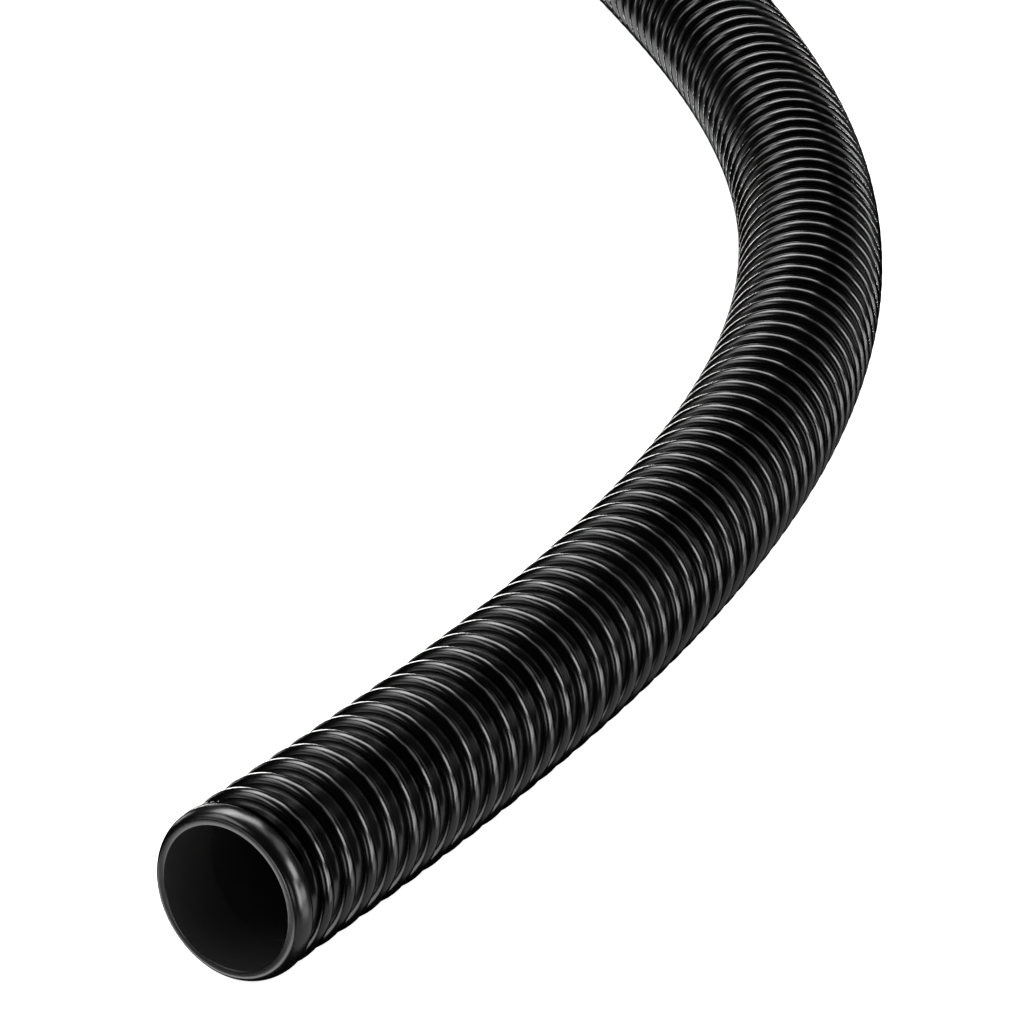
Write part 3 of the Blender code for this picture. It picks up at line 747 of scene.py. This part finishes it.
def sleeve_outline():
    """Down the flange and the grooved sleeve, then up its bore to the seal's groove."""
    flange = FLANGE_R - FLANGE_EDGE
    found = arc((flange, FLANGE_FRONT - FLANGE_EDGE), (FLANGE_EDGE, FLANGE_EDGE), 90, 0, 3)
    found += arc((flange, FLANGE_BACK + FLANGE_EDGE), (FLANGE_EDGE, FLANGE_EDGE), 0, -90, 3)
    found += [(SLEEVE_R, FLANGE_BACK)]
    for k in range(SLEEVE_GROOVES):
        base = -0.0135 - 0.0045 * k
        found += [(SLEEVE_R, base + 0.0012), (SLEEVE_R - 0.0005, base + 0.0007),
                  (SLEEVE_R - 0.0005, base - 0.0007), (SLEEVE_R, base - 0.0012)]
    corner = (SLEEVE_R - SLEEVE_ROUND, -SLEEVE_GRIP + SLEEVE_ROUND)
    found += arc(corner, (SLEEVE_ROUND, SLEEVE_ROUND), 0, -90, 6)
    bore, stop = HOSE_R + GAP, BORE_R + 0.0006
    inner, outer = SEAL_R - SEAL_GROOVE_HALF, SEAL_R + SEAL_GROOVE_HALF
    bottom = FLANGE_FRONT - SEAL_GROOVE_DEPTH
    return found + [(bore, -SLEEVE_GRIP), (bore, GAP), (stop, GAP), (stop, FLANGE_FRONT),
                    (inner, FLANGE_FRONT), (inner, bottom), (outer, bottom), (outer, FLANGE_FRONT)]


def ring_outline():
    outside, inside = FLANGE_R + 0.0009 - RING_EDGE, SLEEVE_R + 0.0004 + RING_EDGE
    back, front = RING_SPAN[0] + RING_EDGE, RING_SPAN[1] - RING_EDGE
    round_edge = (RING_EDGE, RING_EDGE)
    return (arc((outside, front), round_edge, 90, 0, 3) + arc((outside, back), round_edge, 0, -90, 3)
            + arc((inside, back), round_edge, 270, 180, 3) + arc((inside, front), round_edge, 180, 90, 3))


def make_cuff(cuff_mat, sleeve_mat, ring_mat, seal_mat):
    """The swivel cuff, the sleeve that it turns on, its retaining ring and its seal."""
    turn = Matrix.Rotation(math.radians(-90), 4, "Y")
    seal_half = SEAL_THICK / 2
    seal_section = arc((SEAL_R, 0.0047), (seal_half, seal_half), 90, -270, 20)[:-1]
    made = []
    for name, replaced, body, slot, outline, steps, mat, shape in (
            ("swivel_cuff_body", "swivel_cuff", "cuff", "cuff_plastic",
             cuff_outline(), FLUTES * 12, cuff_mat, fluted),
            ("hose_sleeve", "cuff_sleeve", "hose", "moulded_plastic", sleeve_outline(), 160, sleeve_mat, None),
            ("swivel_ring", "retaining_ring", "cuff", "ring_plastic", ring_outline(), 144, ring_mat, None),
            ("swivel_seal", "cuff_seal", "hose", "seal_rubber", seal_section, 144, seal_mat, None)):
        piece = make_piece(name, [turned_part(outline, CUFF_END, turn, steps, mat, shape)], body, 40)
        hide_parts(replaced)
        made.append(piece)
    return made


# ---------------------------------------------------------------- end lip

def lip_outline():
    """Over the rounded nose, down the outside, in along the back, and up the sleeve's bore to its edge."""
    nose, back, edge = 0.0036, 0.0014, 0.0003
    return (arc((HOSE_R - 0.0024, -nose), (0.0024, nose + LIP_NOSE), 90, 0, 18)
            + arc((HOSE_R - 0.0012, -LIP_LENGTH + back), (0.0012, back), 0, -90, 8)
            + [(LIP_SLEEVE_R, -LIP_LENGTH), (LIP_SLEEVE_R, -0.016), (LIP_SLEEVE_R - 0.0002, -0.018),
               (BORE_R, -0.018), (BORE_R, edge - 0.0001)]
            + arc((BORE_R + edge, edge), (edge, edge), 180, 90, 4))


def make_lip(mat, bore_mat):
    """The smooth lip on the hose's end, with the sleeve behind it, whose bore has the bore's material."""
    askew = Matrix.Rotation(math.radians(LIP_TURNED), 4, "Z")
    facing = askew @ Matrix.Rotation(math.radians(90), 4, "X")
    lip = make_piece("end_lip", [turned_part(lip_outline(), MOUTH, facing, 160, mat)],
                     "hose", 35)
    lip.data.materials.append(bore_mat)
    for polygon in lip.data.polygons:
        centre = askew.inverted() @ (polygon.center - MOUTH)
        if math.hypot(centre.x, centre.z) < BORE_R + 0.00002:
            polygon.material_index = 1
    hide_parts("end_bush")
    return lip


# ---------------------------------------------------------------- surroundings

def make_floor():
    mesh = bpy.data.meshes.new("floor")
    mesh.from_pydata([(-6, -6, 0), (6, -6, 0), (6, 6, 0), (-6, 6, 0)], [], [(0, 1, 2, 3)])
    floor = bpy.data.objects.new("floor", mesh)
    bpy.context.scene.collection.objects.link(floor)
    mat, _, shader = new_material("floor_white", (0.85, 0.85, 0.85), 0.6)
    shader.inputs["Emission Color"].default_value = (1, 1, 1, 1)
    shader.inputs["Emission Strength"].default_value = 0.85
    mesh.materials.append(mat)
    floor.location.z = -0.0002
    floor.visible_glossy = False
    floor.visible_shadow = False


def make_world():
    bpy.context.scene.view_settings.view_transform = "Standard"
    world = bpy.data.worlds.new("world")
    bpy.context.scene.world = world
    world.use_nodes = True
    world.node_tree.nodes["Background"].inputs[0].default_value = (0.9, 0.9, 0.9, 1)
    world.node_tree.nodes["Background"].inputs[1].default_value = 1.0
    world.cycles_visibility.glossy = False


def softbox(name, azimuth, height, wide, tall, bright):
    """A panel light seen from the hose's end. Azimuth from +Y towards +X, height and size are in degrees."""
    level = math.cos(math.radians(height))
    away = Vector((math.sin(math.radians(azimuth)) * level, math.cos(math.radians(azimuth)) * level,
                   math.sin(math.radians(height))))
    data = bpy.data.lights.new(name, "AREA")
    data.shape = "RECTANGLE"
    data.size = 2 * LIGHTS_AWAY * math.tan(math.radians(wide / 2))
    data.size_y = 2 * LIGHTS_AWAY * math.tan(math.radians(tall / 2))
    data.energy = math.pi * data.size * data.size_y * bright
    obj = bpy.data.objects.new(name, data)
    bpy.context.scene.collection.objects.link(obj)
    side = Vector((0, 0, 1)).cross(away).normalized()
    obj.matrix_world = (Matrix.Translation(LIGHTS_ROUND + away * LIGHTS_AWAY)
                        @ Matrix((side, away.cross(side), away)).transposed().to_4x4())
    obj.visible_camera = False
    obj.visible_diffuse = height > DIFFUSE_ABOVE


def make_lights():
    """Softboxes by azimuth, height, width, tallness and brightness."""
    softbox("low_back", -31, -14, 24, 14, 13.0)
    softbox("back", -40, 4, 18, 10, 1.8)
    softbox("behind", 20, 10, 40, 16, 0.35)
    softbox("right", 77, -1, 30, 14, 5.0)
    softbox("right_low", 75, -18, 30, 12, 2.6)
    softbox("side_right", 97, 2, 14, 26, 8.0)
    softbox("shoulder_right", 80, 27, 22, 20, 9.0)
    softbox("over_right", 58, 50, 34, 22, 1.6)
    softbox("over", -40, 65, 42, 20, 6.5)
    softbox("crown", 10, 74, 34, 16, 1.6)
    softbox("over_left", -64, 50, 32, 20, 6.0)
    softbox("left_top", -134, 47, 40, 16, 4.0)
    softbox("left_front_high", -128, 31, 20, 10, 3.0)
    softbox("left_front_mid", -140, 16, 36, 8, 0.6)
    softbox("left_front", -150, 3, 30, 12, 1.6)
    softbox("left_low", -170, -12, 18, 12, 6.0)
    softbox("left", -68, 0, 14, 12, 3.0)
    softbox("front", 142, 0, 15, 16, 2.4)
    softbox("below", 85, -42, 90, 36, 0.65)
    softbox("under_front", -150, -44, 80, 30, 3.5)


# ---------------------------------------------------------------- build

def grey(level):
    return (level, level, level)


make_camera()
HOSE_MAT = plastic("hose_black", grey(0.0001), grey(0.0004), 0.17, 0.22, 1.52, 500.0, 0.04)
BORE_MAT = plastic("bore_black", grey(0.0150), grey(0.0185), 0.50, 0.58, 1.40, 700.0, 0.10)
LIP_MAT = plastic("lip_black", grey(0.0010), grey(0.0016), 0.22, 0.26, 1.52, 900.0, 0.05)
CUFF_MAT = plastic("cuff_black", (0.0065, 0.0065, 0.0068), (0.0095, 0.0095, 0.0100), 0.27, 0.36, 1.49,
                   1500.0, 0.25, (0.026, 0.026, 0.027))
BUCKLE_MAT = plastic("buckle_black", (0.0055, 0.0055, 0.0058), (0.0085, 0.0085, 0.0090), 0.28, 0.38, 1.49,
                     1800.0, 0.20, grey(0.05))
RING_MAT = plastic("ring_acetal", (0.52, 0.51, 0.48), (0.60, 0.59, 0.56), 0.30, 0.42, 1.48, 1200.0, 0.10)
SEAL_MAT = plastic("seal_rubber", grey(0.014), grey(0.022), 0.55, 0.70, 1.52, 2200.0, 0.30)
# each webbing's first colour is painted shade between the yarns, its second a painted highlight on them
WEB_MAT = webbing("strap_webbing", (0.006, 0.006, 0.0065), (0.040, 0.041, 0.044))
THREAD_MAT = webbing("strap_thread", (0.030, 0.030, 0.032), (0.085, 0.086, 0.090))

wall, wall_path = make_wall(HOSE_MAT, BORE_MAT)
ribs = [make_rib("hose_rib_near", RIBS_START, NEAR_TO, 64, True, HOSE_MAT)]
RIB_CUTS = [NEAR_TO, RUN_LENGTH, 3.15, 4.70, 5.45, HOSE_END]
for number, (start, end) in enumerate(zip(RIB_CUTS, RIB_CUTS[1:]), 1):
    ribs.append(make_rib(f"hose_rib_{number}", start, end, 28, False, HOSE_MAT))
lip = make_lip(LIP_MAT, BORE_MAT)
fittings = make_cuff(CUFF_MAT, LIP_MAT, RING_MAT, SEAL_MAT)
for number, hub in enumerate(STRAP_ANGLES, 1):
    fittings += make_strap(number, hub, WEB_MAT, THREAD_MAT, BUCKLE_MAT)
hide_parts("hose_run", "hose_coil", "hose_tail")
make_floor()
make_world()
make_lights()
